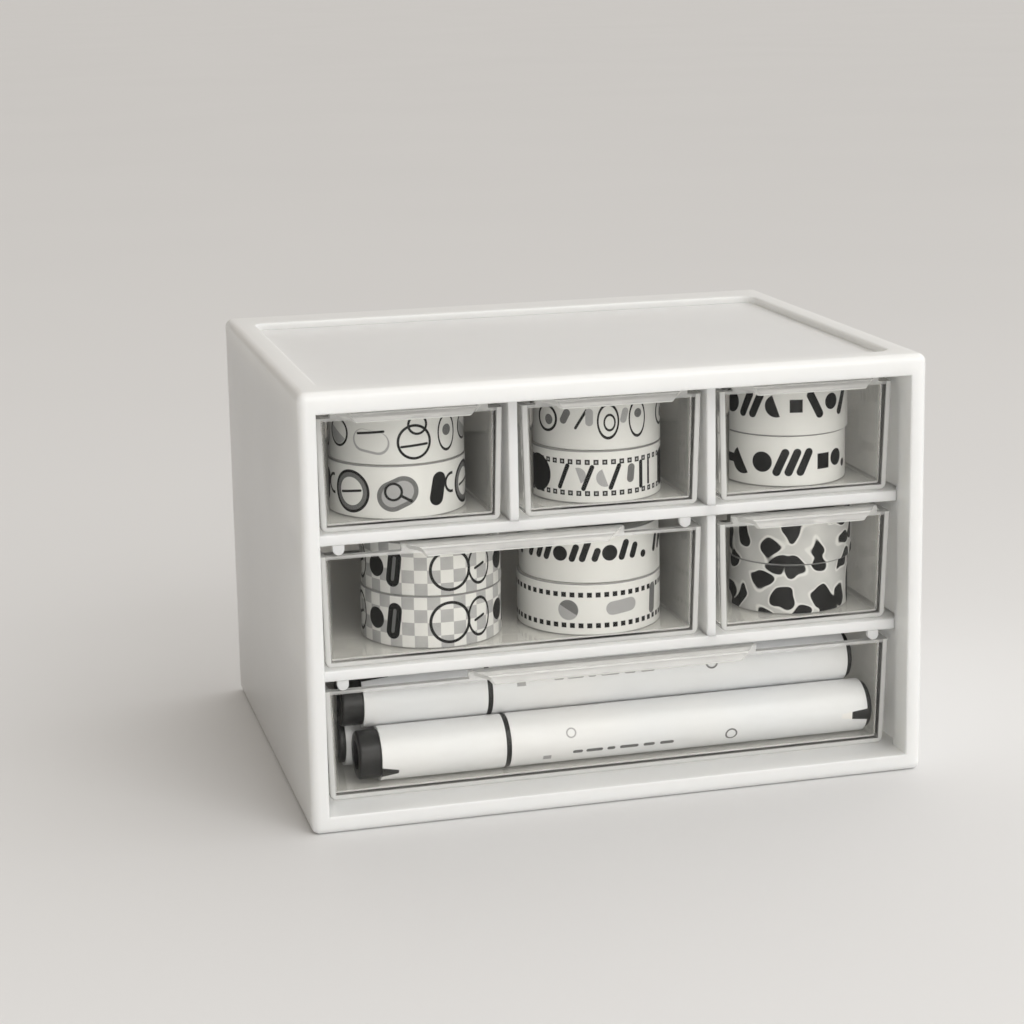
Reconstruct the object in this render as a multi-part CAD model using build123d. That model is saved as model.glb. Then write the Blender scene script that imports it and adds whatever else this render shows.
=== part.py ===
from build123d import *
import math
import os

# A desktop drawer box for rolls of decorative paper tape, in millimetres.
# X runs to the right, Y runs from the front to the back and Z runs up.
# The origin is the middle of the footprint, on the surface the box stands on.
# A white moulded case carries six clear trays: three small ones on top, a double
# one beside a small one in the middle, and one of full width at the bottom.

# --- Bays -----------------------------------------------------------------------
columns = 3
rows = 3
divider_thickness = 2.6
shelf_thickness = 3.0

# --- Case -----------------------------------------------------------------------
case_depth = 138.0
case_wall = 2.6
rim_side = 4.9
rim_top = 6.0
rim_bottom = 5.1
rim_depth = 9.7
case_edge_radius = 2.4
case_rear_radius = 0.9
mouth_edge_radius = 0.5
top_tray_depth = 2.2
top_tray_front_margin = 9.0
top_tray_side_margin = 7.5
top_tray_rear_margin = 14.0
top_tray_corner_radius = 4.0
top_tray_edge_radius = 0.7
skirt_width = 7.0
base_rib_thickness = 1.6
base_rib_lift = 0.6
rail_height = 4.0
back_thickness = 2.2
back_inset = 1.2
back_edge_radius = 0.5
grid_edge_radius = 0.4
lap_fit = 0.1
stop_width = 3.2
stop_drop = 2.7
stop_depth = 1.6
stop_inset = 6.6

# --- Trays ----------------------------------------------------------------------
tray_setback = 1.0
tray_side_gap = 1.3
tray_floor_gap = 0.25
tray_rear_gap = 2.0
tray_draft = 1.6
tray_wall = 1.8
tray_front_wall = 2.2
tray_floor = 1.6
tray_bottom_radius = 2.0
tray_end_radius = 0.7
tray_inner_corner_radius = 1.0
tray_inner_radius = 0.8
raised_back_margin = 0.6
stop_running_gap = 0.5
stop_catch = 0.2
small_tray_hold = 30.0
handle_top_gap = 1.2
handle_reach = 5.4
handle_plate = 1.4
lip_height = 2.8
lip_thickness = 1.2
handle_edge_radius = 0.5
handle_plan_slant = 4.2
handle_lip_slant = 2.2
small_handle_width = 44.0
double_handle_width = 64.0
full_handle_width = 85.0

# --- Tape rolls -----------------------------------------------------------------
tape_width = 15.0
rolls_high = 2
roll_top_room = 0.35
roll_side_room = 3.4
core_inner_radius = 15.0
core_wall = 1.2
core_recess = 0.25
full_winding = 4.8
tape_edge_radius = 0.35

# --- Markers --------------------------------------------------------------------
marker_end_room = 10.0
marker_radius = 7.7
marker_gap = 0.15
marker_lean = 30.0
plug_length = 6.2
plug_step = 0.8
plug_socket_wall = 2.8
plug_socket_depth = 3.4
cap_length = 36.0
ring_length = 1.5
ring_step = 0.2
end_disc_length = 1.9
marker_edge_radius = 0.8
notch_length = 8.0
notch_root_width = 3.4
notch_tip_width = 1.5
notch_depth = 1.3

# --- Working allowances ---------------------------------------------------------
# How far a cutting form runs past the face it opens, and how near an edge must lie
# to a plane to be picked on it.
overshoot = 1.0
pick_range = 0.01

# --- Worked-out sizes -------------------------------------------------------------
core_outer_radius = core_inner_radius + core_wall
full_roll_radius = core_outer_radius + full_winding
bay_width = 2 * (full_roll_radius + roll_side_room + tray_wall + tray_side_gap)
plug_radius = marker_radius - plug_step
plug_socket_radius = plug_radius - plug_socket_wall
ring_radius = marker_radius - ring_step
marker_pitch = 2 * marker_radius + marker_gap
marker_rise = marker_pitch * math.cos(math.radians(marker_lean))
marker_step = marker_pitch * math.sin(math.radians(marker_lean))
contents_height = max(rolls_high * tape_width, marker_pitch + marker_rise)
tray_fill_height = tray_floor_gap + tray_floor + contents_height
bay_height = tray_fill_height + roll_top_room + stop_running_gap + stop_drop
inner_width = columns * bay_width + (columns - 1) * divider_thickness
inner_height = rows * bay_height + (rows - 1) * shelf_thickness
case_width = inner_width + 2 * rim_side
case_height = inner_height + rim_top + rim_bottom
front_y = -case_depth / 2
rear_y = case_depth / 2
grid_front_y = front_y + rim_depth
back_front_y = rear_y - back_inset - back_thickness
grid_mid_y = (grid_front_y + back_front_y) / 2
cavity_width = case_width - 2 * case_wall
ceiling_z = case_height - top_tray_depth - case_wall
tray_front_y = grid_front_y + tray_setback
tray_depth = back_front_y - tray_rear_gap - tray_front_y
tray_full_height = bay_height - tray_floor_gap - handle_top_gap
tray_wall_height = bay_height - tray_floor_gap - stop_drop - stop_running_gap
tray_lean = tray_full_height * math.tan(math.radians(tray_draft))
stopped_travel = tray_depth - tray_wall + tray_setback - stop_depth - stop_catch
small_travel = tray_depth - small_tray_hold
marker_length = inner_width - 2 * (tray_side_gap + tray_wall) - marker_end_room

row_top, row_middle, row_bottom = 2, 1, 0
double_span = 2
axis_min = (Align.CENTER, Align.CENTER, Align.MIN)


def bay_left(column):
    """Left side of a column of bays."""
    return -inner_width / 2 + column * (bay_width + divider_thickness)


def bay_floor(row):
    """Height of the floor of a row, the bottom row being 0."""
    return rim_bottom + row * (bay_height + shelf_thickness)


def span_width(span):
    """Clear width of a bay that is one or more columns wide."""
    return span * bay_width + (span - 1) * divider_thickness


def slab(x_min, x_max, y_min, y_max, z_min, z_max):
    """A block given by its six sides."""
    block = Box(x_max - x_min, y_max - y_min, z_max - z_min)
    return Pos((x_min + x_max) / 2, (y_min + y_max) / 2, (z_min + z_max) / 2) * block


# --- Case -----------------------------------------------------------------------
def case_blank():
    """The closed outer form: soft front and long edges, a crisper rear."""
    blank = Box(case_width, case_depth, case_height, align=axis_min)
    long_edges = blank.edges().filter_by(Axis.Y)
    front_edges = blank.faces().sort_by(Axis.Y)[0].edges()
    blank = fillet(long_edges + front_edges, case_edge_radius)
    return fillet(blank.faces().sort_by(Axis.Y)[-1].edges(), case_rear_radius)


def mouth():
    """The opening in the rim and the wider cavity behind it."""
    opening = slab(-inner_width / 2, inner_width / 2, front_y - overshoot, grid_front_y,
                   rim_bottom, rim_bottom + inner_height)
    cavity = slab(-cavity_width / 2, cavity_width / 2, grid_front_y, rear_y + overshoot,
                  rim_bottom, ceiling_z)
    return opening + cavity


def top_tray():
    """The shallow tray sunk in the top."""
    width = case_width - 2 * top_tray_side_margin
    y_min = front_y + top_tray_front_margin
    y_max = rear_y - top_tray_rear_margin
    outline = RectangleRounded(width, y_max - y_min, top_tray_corner_radius)
    pocket = extrude(outline, amount=top_tray_depth + overshoot)
    return Pos(0, (y_min + y_max) / 2, case_height - top_tray_depth) * pocket


def base_pocket():
    """The hollow under the floor, crossed by ribs that stay clear of the table."""
    half_x = case_width / 2 - skirt_width
    half_y = case_depth / 2 - skirt_width
    height = rim_bottom - case_wall
    pocket = slab(-half_x, half_x, -half_y, half_y, -overshoot, height)
    half_rib = base_rib_thickness / 2
    for column in range(1, columns):
        x = bay_left(column) - divider_thickness / 2
        pocket -= slab(x - half_rib, x + half_rib, -half_y, half_y, base_rib_lift, height)
    pocket -= slab(-half_x, half_x, -half_rib, half_rib, base_rib_lift, height)
    return pocket


def side_rails():
    """Rails on both side walls: they carry the shelf ends and guide the outer trays."""
    rails = []
    for row in range(rows):
        top = bay_floor(row) + bay_height
        rail_top = ceiling_z if row == rows - 1 else top
        for side in (-1, 1):
            x_rim = side * inner_width / 2
            x_wall = side * cavity_width / 2
            rails.append(slab(min(x_rim, x_wall), max(x_rim, x_wall), grid_front_y,
                              back_front_y, top - rail_height, rail_top))
    return rails


def mouth_edges(shell):
    """The edges round the mouth on the rim's front face."""
    front = shell.edges().filter_by_position(Axis.Y, front_y - pick_range, front_y + pick_range)
    across = [edge for edge in front if abs(edge.center().X) < inner_width / 2 + pick_range]
    top = rim_bottom + inner_height
    return [edge for edge in across if rim_bottom - pick_range < edge.center().Z < top + pick_range]


def top_tray_edges(shell):
    """The edges round the recess in the top."""
    near = shell.edges().filter_by_position(Axis.Z, case_height - pick_range, case_height + pick_range)
    inside_x = case_width / 2 - case_edge_radius - overshoot
    inside_y = rear_y - case_edge_radius - overshoot
    return [edge for edge in near if abs(edge.center().X) < inside_x and abs(edge.center().Y) < inside_y]


def case_shell():
    """The white outer moulding with its thick rim round the mouth."""
    shell = case_blank() - mouth() - top_tray() - base_pocket()
    shell = shell + side_rails()
    shell = fillet(top_tray_edges(shell), top_tray_edge_radius)
    return fillet(mouth_edges(shell), mouth_edge_radius)


def back_panel():
    """The plate that closes the rear and holds the shelves against the rim."""
    plate = slab(-cavity_width / 2, cavity_width / 2, back_front_y, back_front_y + back_thickness,
                 rim_bottom, ceiling_z)
    return fillet(plate.faces().sort_by(Axis.Y)[-1].edges(), back_edge_radius)


def drawer_stop(x, z):
    """A half-round tab that hangs from a shelf's front edge and catches a tray's back wall."""
    radius = stop_width / 2
    straight = stop_drop - radius
    outline = Pos(0, -straight / 2) * Rectangle(stop_width, straight)
    outline += Pos(0, -straight) * Circle(radius)
    outline &= Pos(0, -stop_drop / 2) * Rectangle(stop_width, stop_drop)
    tab = extrude(Plane.XZ * outline, amount=-stop_depth)
    return Pos(x, grid_front_y, z) * tab


def shelf(row, stops):
    """The shelf above a row, with stops over the bays whose sides are given."""
    z = bay_floor(row) + bay_height
    plate = slab(-cavity_width / 2, cavity_width / 2, grid_front_y, back_front_y,
                 z, z + shelf_thickness)
    plate = fillet(plate.faces().sort_by(Axis.Y)[0].edges().filter_by(Axis.X), grid_edge_radius)
    for left, right in stops:
        plate += drawer_stop(left + stop_inset, z)
        plate += drawer_stop(right - stop_inset, z)
    return plate


def lap_slot(x, y_min, y_max, z_min, z_max):
    """The slot that one plate of the grid has where it crosses another."""
    half = divider_thickness / 2 + lap_fit
    return slab(x - half, x + half, y_min, y_max, z_min, z_max)


def divider(column, z_min):
    """The upright plate left of a column, from a given height to the ceiling."""
    x = bay_left(column)
    plate = slab(x - divider_thickness, x, grid_front_y, back_front_y, z_min, ceiling_z)
    return fillet(plate.faces().sort_by(Axis.Y)[0].edges().filter_by(Axis.Z), grid_edge_radius)


def grid_parts():
    """Shelves and dividers; the right divider and the upper shelf halve into each other."""
    double_left = bay_left(0)
    upper = shelf(row_middle, [(double_left, double_left + span_width(double_span))])
    lower = shelf(row_bottom, [(-inner_width / 2, inner_width / 2)])
    last_column = columns - 1
    cross_x = bay_left(last_column) - divider_thickness / 2
    bottom_z = bay_floor(row_middle) + bay_height
    top_z = bottom_z + shelf_thickness
    upper -= lap_slot(cross_x, grid_mid_y - lap_fit, rear_y, bottom_z - overshoot, top_z + overshoot)
    right = divider(last_column, bay_floor(row_middle))
    right -= lap_slot(cross_x, front_y, grid_mid_y, bottom_z, top_z)
    left = divider(1, bay_floor(row_top))
    return {"shelf_upper": upper, "shelf_lower": lower, "divider_left": left, "divider_right": right}


# --- Trays ----------------------------------------------------------------------
def drafted_block(outline, height):
    """What a plan outline becomes when it widens upwards by the draft."""
    return extrude(outline, amount=height, taper=-tray_draft)


def foot_size(top_size, height):
    """The size at the foot of a drafted form from the size at its top."""
    return top_size - 2 * height * math.tan(math.radians(tray_draft))


def tray_outside(width):
    """The closed outer form: the long bottom edges well rounded, both ends only softened."""
    outline = Rectangle(foot_size(width, tray_full_height), foot_size(tray_depth, tray_full_height))
    block = drafted_block(outline, tray_full_height)
    bottom = block.faces().sort_by(Axis.Z)[0]
    block = fillet(bottom.edges().filter_by(Axis.Y), tray_bottom_radius)
    end_edges = []
    for end in (0, -1):
        end_edges += block.faces().sort_by(Axis.Y)[end].edges().sort_by(Axis.Z)[:-1]
    return fillet(end_edges, tray_end_radius)


def tray_hollow(width):
    """What the tray holds, standing on its floor."""
    height = tray_full_height - tray_floor
    inner_depth = tray_depth - tray_wall - tray_front_wall
    outline = RectangleRounded(foot_size(width - 2 * tray_wall, height), foot_size(inner_depth, height),
                               tray_inner_corner_radius)
    hollow = drafted_block(outline, height)
    hollow = fillet(hollow.faces().sort_by(Axis.Z)[0].edges(), tray_inner_radius)
    return Pos(0, (tray_front_wall - tray_wall) / 2, tray_floor) * hollow


def tray_body(width):
    """The drafted open box, before its walls are cut down to their heights."""
    return tray_outside(width) - tray_hollow(width)


def handle_trapezoid(top_half):
    """Section of the handle's ends: wide at the top, narrower under the lip."""
    bottom_half = top_half - handle_lip_slant
    points = [(-top_half, 0), (top_half, 0), (bottom_half, -lip_height), (-bottom_half, -lip_height)]
    return Polygon(*points, align=None)


def handle(width):
    """The ledge along the tray's front with a lip hanging from its edge, slanted at both ends."""
    root = tray_front_wall / 2
    profile = Polygon((root, 0), (-handle_reach, 0), (-handle_reach, -lip_height),
                      (lip_thickness - handle_reach, -lip_height),
                      (lip_thickness - handle_reach, -handle_plate), (root, -handle_plate), align=None)
    bar = extrude(Plane.YZ * profile, amount=width / 2, both=True)
    bar = fillet(bar.edges().filter_by(Axis.X).sort_by(Axis.Y)[:2], handle_edge_radius)
    back = Plane.XZ.offset(-root) * handle_trapezoid(width / 2)
    front = Plane.XZ.offset(handle_reach) * handle_trapezoid(width / 2 - handle_plan_slant)
    return bar & loft([back, front])


def wall_cut(x_from, x_to, y_min, y_max):
    """What is cut away above the low walls between two sides."""
    return slab(min(x_from, x_to), max(x_from, x_to), y_min, y_max, tray_wall_height,
                tray_full_height + overshoot)


def tray(span, handle_width):
    """One clear tray: low sides and front that pass the stops, a high back that they catch."""
    width = span_width(span) - 2 * tray_side_gap
    front = -tray_depth / 2
    inside = front + tray_front_wall
    body = tray_body(width)
    body -= wall_cut(-width, width, inside, -front - tray_wall - raised_back_margin)
    for side in (-1, 1):
        body -= wall_cut(side * handle_width / 2, side * width, front - overshoot, inside + overshoot)
    body += Pos(0, front, tray_full_height) * handle(handle_width)
    return Pos(0, tray_depth / 2, 0) * body


def tray_place(column, span, row):
    """Where a tray's front bottom middle sits when it is shut."""
    x = bay_left(column) + span_width(span) / 2
    return (x, tray_front_y, bay_floor(row) + tray_floor_gap)


# --- Tape rolls -----------------------------------------------------------------
def ring(outer_radius, inner_radius, height):
    """A ring that stands on the XY plane."""
    return extrude(Circle(outer_radius) - Circle(inner_radius), amount=height)


def tape_winding(outer_radius):
    """The wound tape of one roll, with softened outer corners."""
    winding = ring(outer_radius, core_outer_radius, tape_width)
    outer = winding.edges().filter_by(GeomType.CIRCLE).sort_by(SortBy.RADIUS)[-2:]
    return fillet(outer, tape_edge_radius)


def tape_core():
    """The paper core of one roll, a little shorter than the tape at its top."""
    return ring(core_outer_radius, core_inner_radius, tape_width - core_recess)


# --- Markers --------------------------------------------------------------------
def bar_along_x(radius, length):
    """A round bar from x = 0 to its length."""
    return extrude(Plane.YZ * Circle(radius), amount=length)


def notch(root_x, direction, angle):
    """The tapering key shape at a marker's end, reaching into the white sleeve."""
    tip_x = root_x + direction * notch_length
    outline = Polygon((root_x, -notch_root_width / 2), (root_x, notch_root_width / 2),
                      (tip_x, notch_tip_width / 2), (tip_x, -notch_tip_width / 2), align=None)
    block = extrude(Plane.XY * outline, amount=marker_radius + overshoot)
    block &= bar_along_x(marker_radius, marker_length)
    block -= bar_along_x(marker_radius - notch_depth, marker_length)
    return Rot(angle, 0, 0) * block


def marker_parts(left_angle, right_angle):
    """Plug, cap, ring, barrel and end disc of one marker, from left to right along X."""
    ring_x = plug_length + cap_length
    barrel_x = ring_x + ring_length
    barrel_length = marker_length - end_disc_length - barrel_x
    left_key = notch(plug_length, 1, left_angle)
    right_key = notch(barrel_x + barrel_length, -1, right_angle)
    plug = bar_along_x(plug_radius, plug_length)
    plug = fillet(plug.edges().sort_by(Axis.X)[0], marker_edge_radius)
    plug -= bar_along_x(plug_socket_radius, plug_socket_depth)
    disc = Pos(barrel_x + barrel_length, 0, 0) * bar_along_x(plug_radius, end_disc_length)
    disc = fillet(disc.edges().sort_by(Axis.X)[-1], marker_edge_radius)
    cap = Pos(plug_length, 0, 0) * bar_along_x(marker_radius, cap_length) - left_key
    barrel = Pos(barrel_x, 0, 0) * bar_along_x(marker_radius, barrel_length) - right_key
    collar = Pos(ring_x, 0, 0) * bar_along_x(ring_radius, ring_length)
    return {"plug": plug + left_key, "cap": cap, "ring": collar, "barrel": barrel,
            "disc": disc + right_key}


# --- What stands in which tray ------------------------------------------------------
# name: (first column, columns wide, row, width of the handle)
trays = {
    "drawer_top_left": (0, 1, row_top, small_handle_width),
    "drawer_top_middle": (1, 1, row_top, small_handle_width),
    "drawer_top_right": (2, 1, row_top, small_handle_width),
    "drawer_middle_double": (0, 2, row_middle, double_handle_width),
    "drawer_middle_right": (2, 1, row_middle, small_handle_width),
    "drawer_bottom": (0, 3, row_bottom, full_handle_width),
}

# stack: (tray, shift right of the tray's middle in bay widths, distance behind its front
#         wall, shares of a full winding left on the lower and the upper roll, shift of the
#         upper roll)
stacks = {
    "stack_a": ("drawer_top_left", 0.011, 1.0, 0.71, 0.65, (0.3, 0.5)),
    "stack_b": ("drawer_top_middle", 0.025, 1.0, 0.58, 0.50, (0.5, 0.3)),
    "stack_c": ("drawer_top_right", 0.04, 2.6, 0.38, 0.44, (0.2, -0.4)),
    "stack_d": ("drawer_middle_double", -0.338, 2.6, 0.87, 0.85, (0.3, 0.3)),
    "stack_e": ("drawer_middle_double", 0.515, 1.0, 1.0, 0.92, (0.4, 0.4)),
    "stack_f": ("drawer_middle_right", 0.065, 2.8, 0.33, 0.42, (0.4, -0.3)),
}

# marker: (place in the pile, share of the end room on its left, reversed, two notch angles)
markers = {
    "marker_front": ("front", 0.84, False, 128.0, 96.0),
    "marker_upper": ("top", 0.52, False, 200.0, 230.0),
    "marker_rear": ("rear", 0.54, True, 250.0, 112.0),
}


def stack_parts(name):
    """The four pieces of one stack: two rolls, each a winding on a core."""
    tray_name, shift_x, behind, lower_share, upper_share, upper_shift = stacks[name]
    column, span, row, handle_width = trays[tray_name]
    x, y, z = tray_place(column, span, row)
    lower_radius = core_outer_radius + lower_share * full_winding
    upper_radius = core_outer_radius + upper_share * full_winding
    x += shift_x * bay_width
    y += tray_lean + tray_front_wall + behind + max(lower_radius, upper_radius)
    z += tray_floor
    upper = Pos(x + upper_shift[0], y + upper_shift[1], z + tape_width)
    lower = Pos(x, y, z)
    return {
        name + "_lower_tape": lower * tape_winding(lower_radius),
        name + "_lower_core": lower * tape_core(),
        name + "_upper_tape": upper * tape_winding(upper_radius),
        name + "_upper_core": upper * tape_core(),
    }


def marker_set(name):
    """One marker of the pile of three in the bottom tray."""
    place, end_share, is_reversed, left_angle, right_angle = markers[name]
    x, y, z = tray_place(0, columns, row_bottom)
    tray_half = span_width(columns) / 2 - tray_side_gap - tray_wall
    pile_x = x - tray_half + end_share * marker_end_room
    pile_y = y + tray_lean + tray_front_wall + marker_gap + marker_radius
    pile_z = z + tray_floor + marker_gap + marker_radius
    shifts = {"front": (0, 0), "top": (marker_step, marker_rise), "rear": (marker_pitch, 0)}
    shift_y, shift_z = shifts[place]
    pose = Pos(pile_x, pile_y + shift_y, pile_z + shift_z)
    if is_reversed:
        pose = pose * Pos(marker_length, 0, 0) * Rot(0, 0, 180)
    parts = marker_parts(left_angle, right_angle)
    return {name + "_" + piece: pose * solid for piece, solid in parts.items()}


def main():
    """Writes one file for each piece."""
    pieces = {"case_shell": case_shell(), "back_panel": back_panel()}
    pieces.update(grid_parts())
    for name, (column, span, row, handle_width) in trays.items():
        pieces[name] = Pos(*tray_place(column, span, row)) * tray(span, handle_width)
    for name in stacks:
        pieces.update(stack_parts(name))
    for name in markers:
        pieces.update(marker_set(name))
    os.makedirs("parts", exist_ok=True)
    for name, solid in pieces.items():
        export_step(solid, "parts/" + name + ".step")
    print("case", case_width, case_depth, case_height)
    print("travel of a stopped tray", stopped_travel, "and of a small tray", small_travel)


main()
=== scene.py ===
# %% [markdown]
# # A white drawer box with clear trays for rolls of paper tape
# The box is a desktop organizer: a moulded white case, six clear trays, rolls of printed
# paper tape in the upper ones and three marker pens in the lowest. The hard parts come
# ready made from the CAD model. This lesson gives them their finishes, winds the rolls of
# tape as new surfaces, and sets the floor, the lamps and the camera.

# %% Load the CAD model as a fixed frame
import math

import bpy
import numpy as np
from mathutils import Matrix, Vector


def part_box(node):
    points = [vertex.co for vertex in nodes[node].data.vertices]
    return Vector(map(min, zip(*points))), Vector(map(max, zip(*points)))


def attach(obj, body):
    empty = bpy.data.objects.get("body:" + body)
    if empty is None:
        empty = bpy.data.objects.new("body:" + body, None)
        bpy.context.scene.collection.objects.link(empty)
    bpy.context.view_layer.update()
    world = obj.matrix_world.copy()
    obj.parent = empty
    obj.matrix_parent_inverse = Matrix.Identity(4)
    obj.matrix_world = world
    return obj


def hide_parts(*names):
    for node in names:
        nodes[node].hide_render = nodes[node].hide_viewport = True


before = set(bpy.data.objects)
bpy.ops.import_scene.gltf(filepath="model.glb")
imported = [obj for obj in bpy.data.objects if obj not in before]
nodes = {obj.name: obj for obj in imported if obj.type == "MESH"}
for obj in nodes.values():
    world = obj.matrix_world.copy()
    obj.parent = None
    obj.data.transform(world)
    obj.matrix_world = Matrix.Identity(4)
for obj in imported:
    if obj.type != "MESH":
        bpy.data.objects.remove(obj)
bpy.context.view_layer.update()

# %% [markdown]
# ## The camera
# The photograph was taken from the front left and a little above, with the picture
# straightened afterwards so that upright edges stay upright. The place, the three turns
# and the lens were worked out from the corners of the case. A small vertical shift of the
# frame does the rest, which is simpler than turning the camera and cropping.

# %% Place the camera
camera_place = Vector((-0.18746, -0.67492, 0.23756))
camera_yaw, camera_pitch, camera_roll = 0.25178, 0.19736, -0.01835
camera_lens, camera_sensor = 82.97, 36
camera_shift = -0.0898


def camera_axes(yaw, pitch, roll):
    """Forward is (sin yaw cos pitch, cos yaw cos pitch, -sin pitch). Right lies level, up is
    right times forward, and both are then turned about the forward axis by the roll."""
    level_reach = math.cos(pitch)
    forward = Vector((math.sin(yaw) * level_reach, math.cos(yaw) * level_reach, -math.sin(pitch)))
    level = Vector((math.cos(yaw), -math.sin(yaw), 0))
    upright = level.cross(forward)
    right = math.cos(roll) * level + math.sin(roll) * upright
    up = math.cos(roll) * upright - math.sin(roll) * level
    return right, up, -forward


camera = bpy.data.objects.new("camera", bpy.data.cameras.new("camera"))
bpy.context.scene.collection.objects.link(camera)
axes = Matrix(camera_axes(camera_yaw, camera_pitch, camera_roll)).transposed()
camera.matrix_world = Matrix.Translation(camera_place) @ axes.to_4x4()
camera.data.sensor_width = camera_sensor
camera.data.lens = camera_lens
camera.data.shift_y = camera_shift
bpy.context.scene.camera = camera
print("camera at", [round(value, 3) for value in camera_place], "lens", camera_lens)

# %% [markdown]
# ## Writing patterns as sums
# Every finish here is a node tree. A print on tape is a drawing in two lengths, along the
# tape and across it, so it helps to write the nodes as ordinary sums. A Field is the
# output of a node: adding, multiplying or comparing fields adds the Math node for it.

# %% Fields: node outputs that can be added and multiplied
millimetres, cubic_centimetres = 1000.0, 1e6


class Field:
    """One number for every point of a surface, as the output of a shader node."""

    def __init__(self, tree, value):
        self.tree, self.value = tree, value

    def math(self, operation, *others, clamp=False):
        """The Math node of that operation, on this field and the others."""
        node = self.tree.nodes.new("ShaderNodeMath")
        node.operation, node.use_clamp = operation, clamp
        for socket, other in zip(node.inputs, (self, *others)):
            feed(self.tree, socket, other)
        return Field(self.tree, node.outputs[0])

    def __add__(self, other):
        return self.math("ADD", other)

    def __sub__(self, other):
        return self.math("SUBTRACT", other)

    def __mul__(self, other):
        return self.math("MULTIPLY", other)

    def __abs__(self):
        return self.math("ABSOLUTE")

    def least(self, other):
        """The smaller of the two."""
        return self.math("MINIMUM", other)

    def most(self, other):
        """The greater of the two."""
        return self.math("MAXIMUM", other)

    def limited(self):
        """This field, held between 0 and 1."""
        return self.math("MULTIPLY", 1.0, clamp=True)


def feed(tree, socket, value):
    """Links a field or an output to a socket, or sets a plain value on it."""
    if isinstance(value, Field):
        tree.links.new(value.value, socket)
    elif isinstance(value, bpy.types.NodeSocket):
        tree.links.new(value, socket)
    else:
        socket.default_value = value


# %% Helpers that every finish is built with
bump_strength = 1.0


def add_node(tree, kind, inputs=None, **settings):
    """Adds a node, sets its options, and feeds the named inputs."""
    node = tree.nodes.new(kind)
    for name, value in settings.items():
        setattr(node, name, value)
    for name, value in (inputs or {}).items():
        feed(tree, node.inputs[name], value)
    return node


def new_finish(name):
    """An empty material and its tree, with a Principled shader on the output."""
    finish = bpy.data.materials.new(name)
    finish.use_nodes = True
    tree = finish.node_tree
    tree.nodes.clear()
    shader = tree.nodes.new("ShaderNodeBsdfPrincipled")
    output = tree.nodes.new("ShaderNodeOutputMaterial")
    tree.links.new(shader.outputs[0], output.inputs["Surface"])
    return finish, tree, shader


def object_place(tree):
    """The point's own place on the piece, in metres, which moves with the piece."""
    return add_node(tree, "ShaderNodeTexCoord").outputs["Object"]


def split(tree, vector):
    """The three parts of a vector, each as a field."""
    parts = add_node(tree, "ShaderNodeSeparateXYZ", {"Vector": vector})
    return [Field(tree, output) for output in parts.outputs]


def moved(tree, where, offset):
    """Those coordinates with an offset added, to centre a pattern on a piece."""
    return add_node(tree, "ShaderNodeMapping", {"Vector": where, "Location": offset}).outputs[0]


def noise(tree, where, scale, detail=2.0):
    """A soft random field from 0 to 1 on those coordinates."""
    node = add_node(tree, "ShaderNodeTexNoise", {"Vector": where, "Scale": scale, "Detail": detail})
    return Field(tree, node.outputs["Fac"])


def blend_colour(tree, share, first, second):
    """The first colour where share is 0 and the second where it is 1."""
    node = add_node(tree, "ShaderNodeMix", data_type="RGBA")
    for socket, value in zip((node.inputs[0], node.inputs[6], node.inputs[7]), (share, first, second)):
        feed(tree, socket, value)
    return node.outputs[2]


def raise_surface(tree, shader, height, distance):
    """Bumps the shader's normal by a height field, in metres."""
    bump = add_node(tree, "ShaderNodeBump", {"Height": height, "Distance": distance,
                                             "Strength": bump_strength})
    tree.links.new(bump.outputs[0], shader.inputs["Normal"])


def grey(level):
    """A neutral colour."""
    return (level, level, level, 1)


def dress(names, finish):
    """Gives CAD nodes a finish in place of their plain one."""
    for name in names:
        for holder in nodes[name].material_slots:
            holder.material = finish
    print(finish.name, "on", len(names), "nodes")


print("helpers ready for", len(nodes), "nodes")

# %% [markdown]
# ## The white case
# The case, its shelves and its dividers are moulded in glossy white polystyrene. A flat
# white would look like paper, because a real moulding is never quite even: its gloss
# drifts over a few centimetres, and its skin has a faint orange peel. Two noises at those
# two sizes give both, one on the roughness and tone, the other on the height.

# %% Finish of the case
case_tone_light = (0.86, 0.87, 0.855, 1)
case_tone_dull = (0.80, 0.805, 0.795, 1)
case_gloss, case_gloss_drift = 0.24, 0.12
case_glow, case_glow_depth = 0.8, 0.007
case_glow_tint = (1.0, 0.98, 0.94)
peel_scale, peel_height = 420.0, 0.00003
drift_scale, drift_detail = 22.0, 3.0


def moulded_white():
    """Glossy white moulding: tone and gloss drift together, with a fine orange peel."""
    finish, tree, shader = new_finish("moulded_white")
    where = object_place(tree)
    drift = noise(tree, where, drift_scale, drift_detail)
    feed(tree, shader.inputs["Base Color"], blend_colour(tree, drift, case_tone_light, case_tone_dull))
    feed(tree, shader.inputs["Roughness"], drift * case_gloss_drift + case_gloss)
    shader.inputs["Subsurface Weight"].default_value = case_glow
    shader.inputs["Subsurface Radius"].default_value = case_glow_tint
    shader.inputs["Subsurface Scale"].default_value = case_glow_depth
    raise_surface(tree, shader, noise(tree, where, peel_scale), peel_height)
    return finish


case_nodes = ["case_shell", "back_panel", "shelf_upper", "shelf_lower", "divider_left", "divider_right"]
dress(case_nodes, moulded_white())
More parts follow.
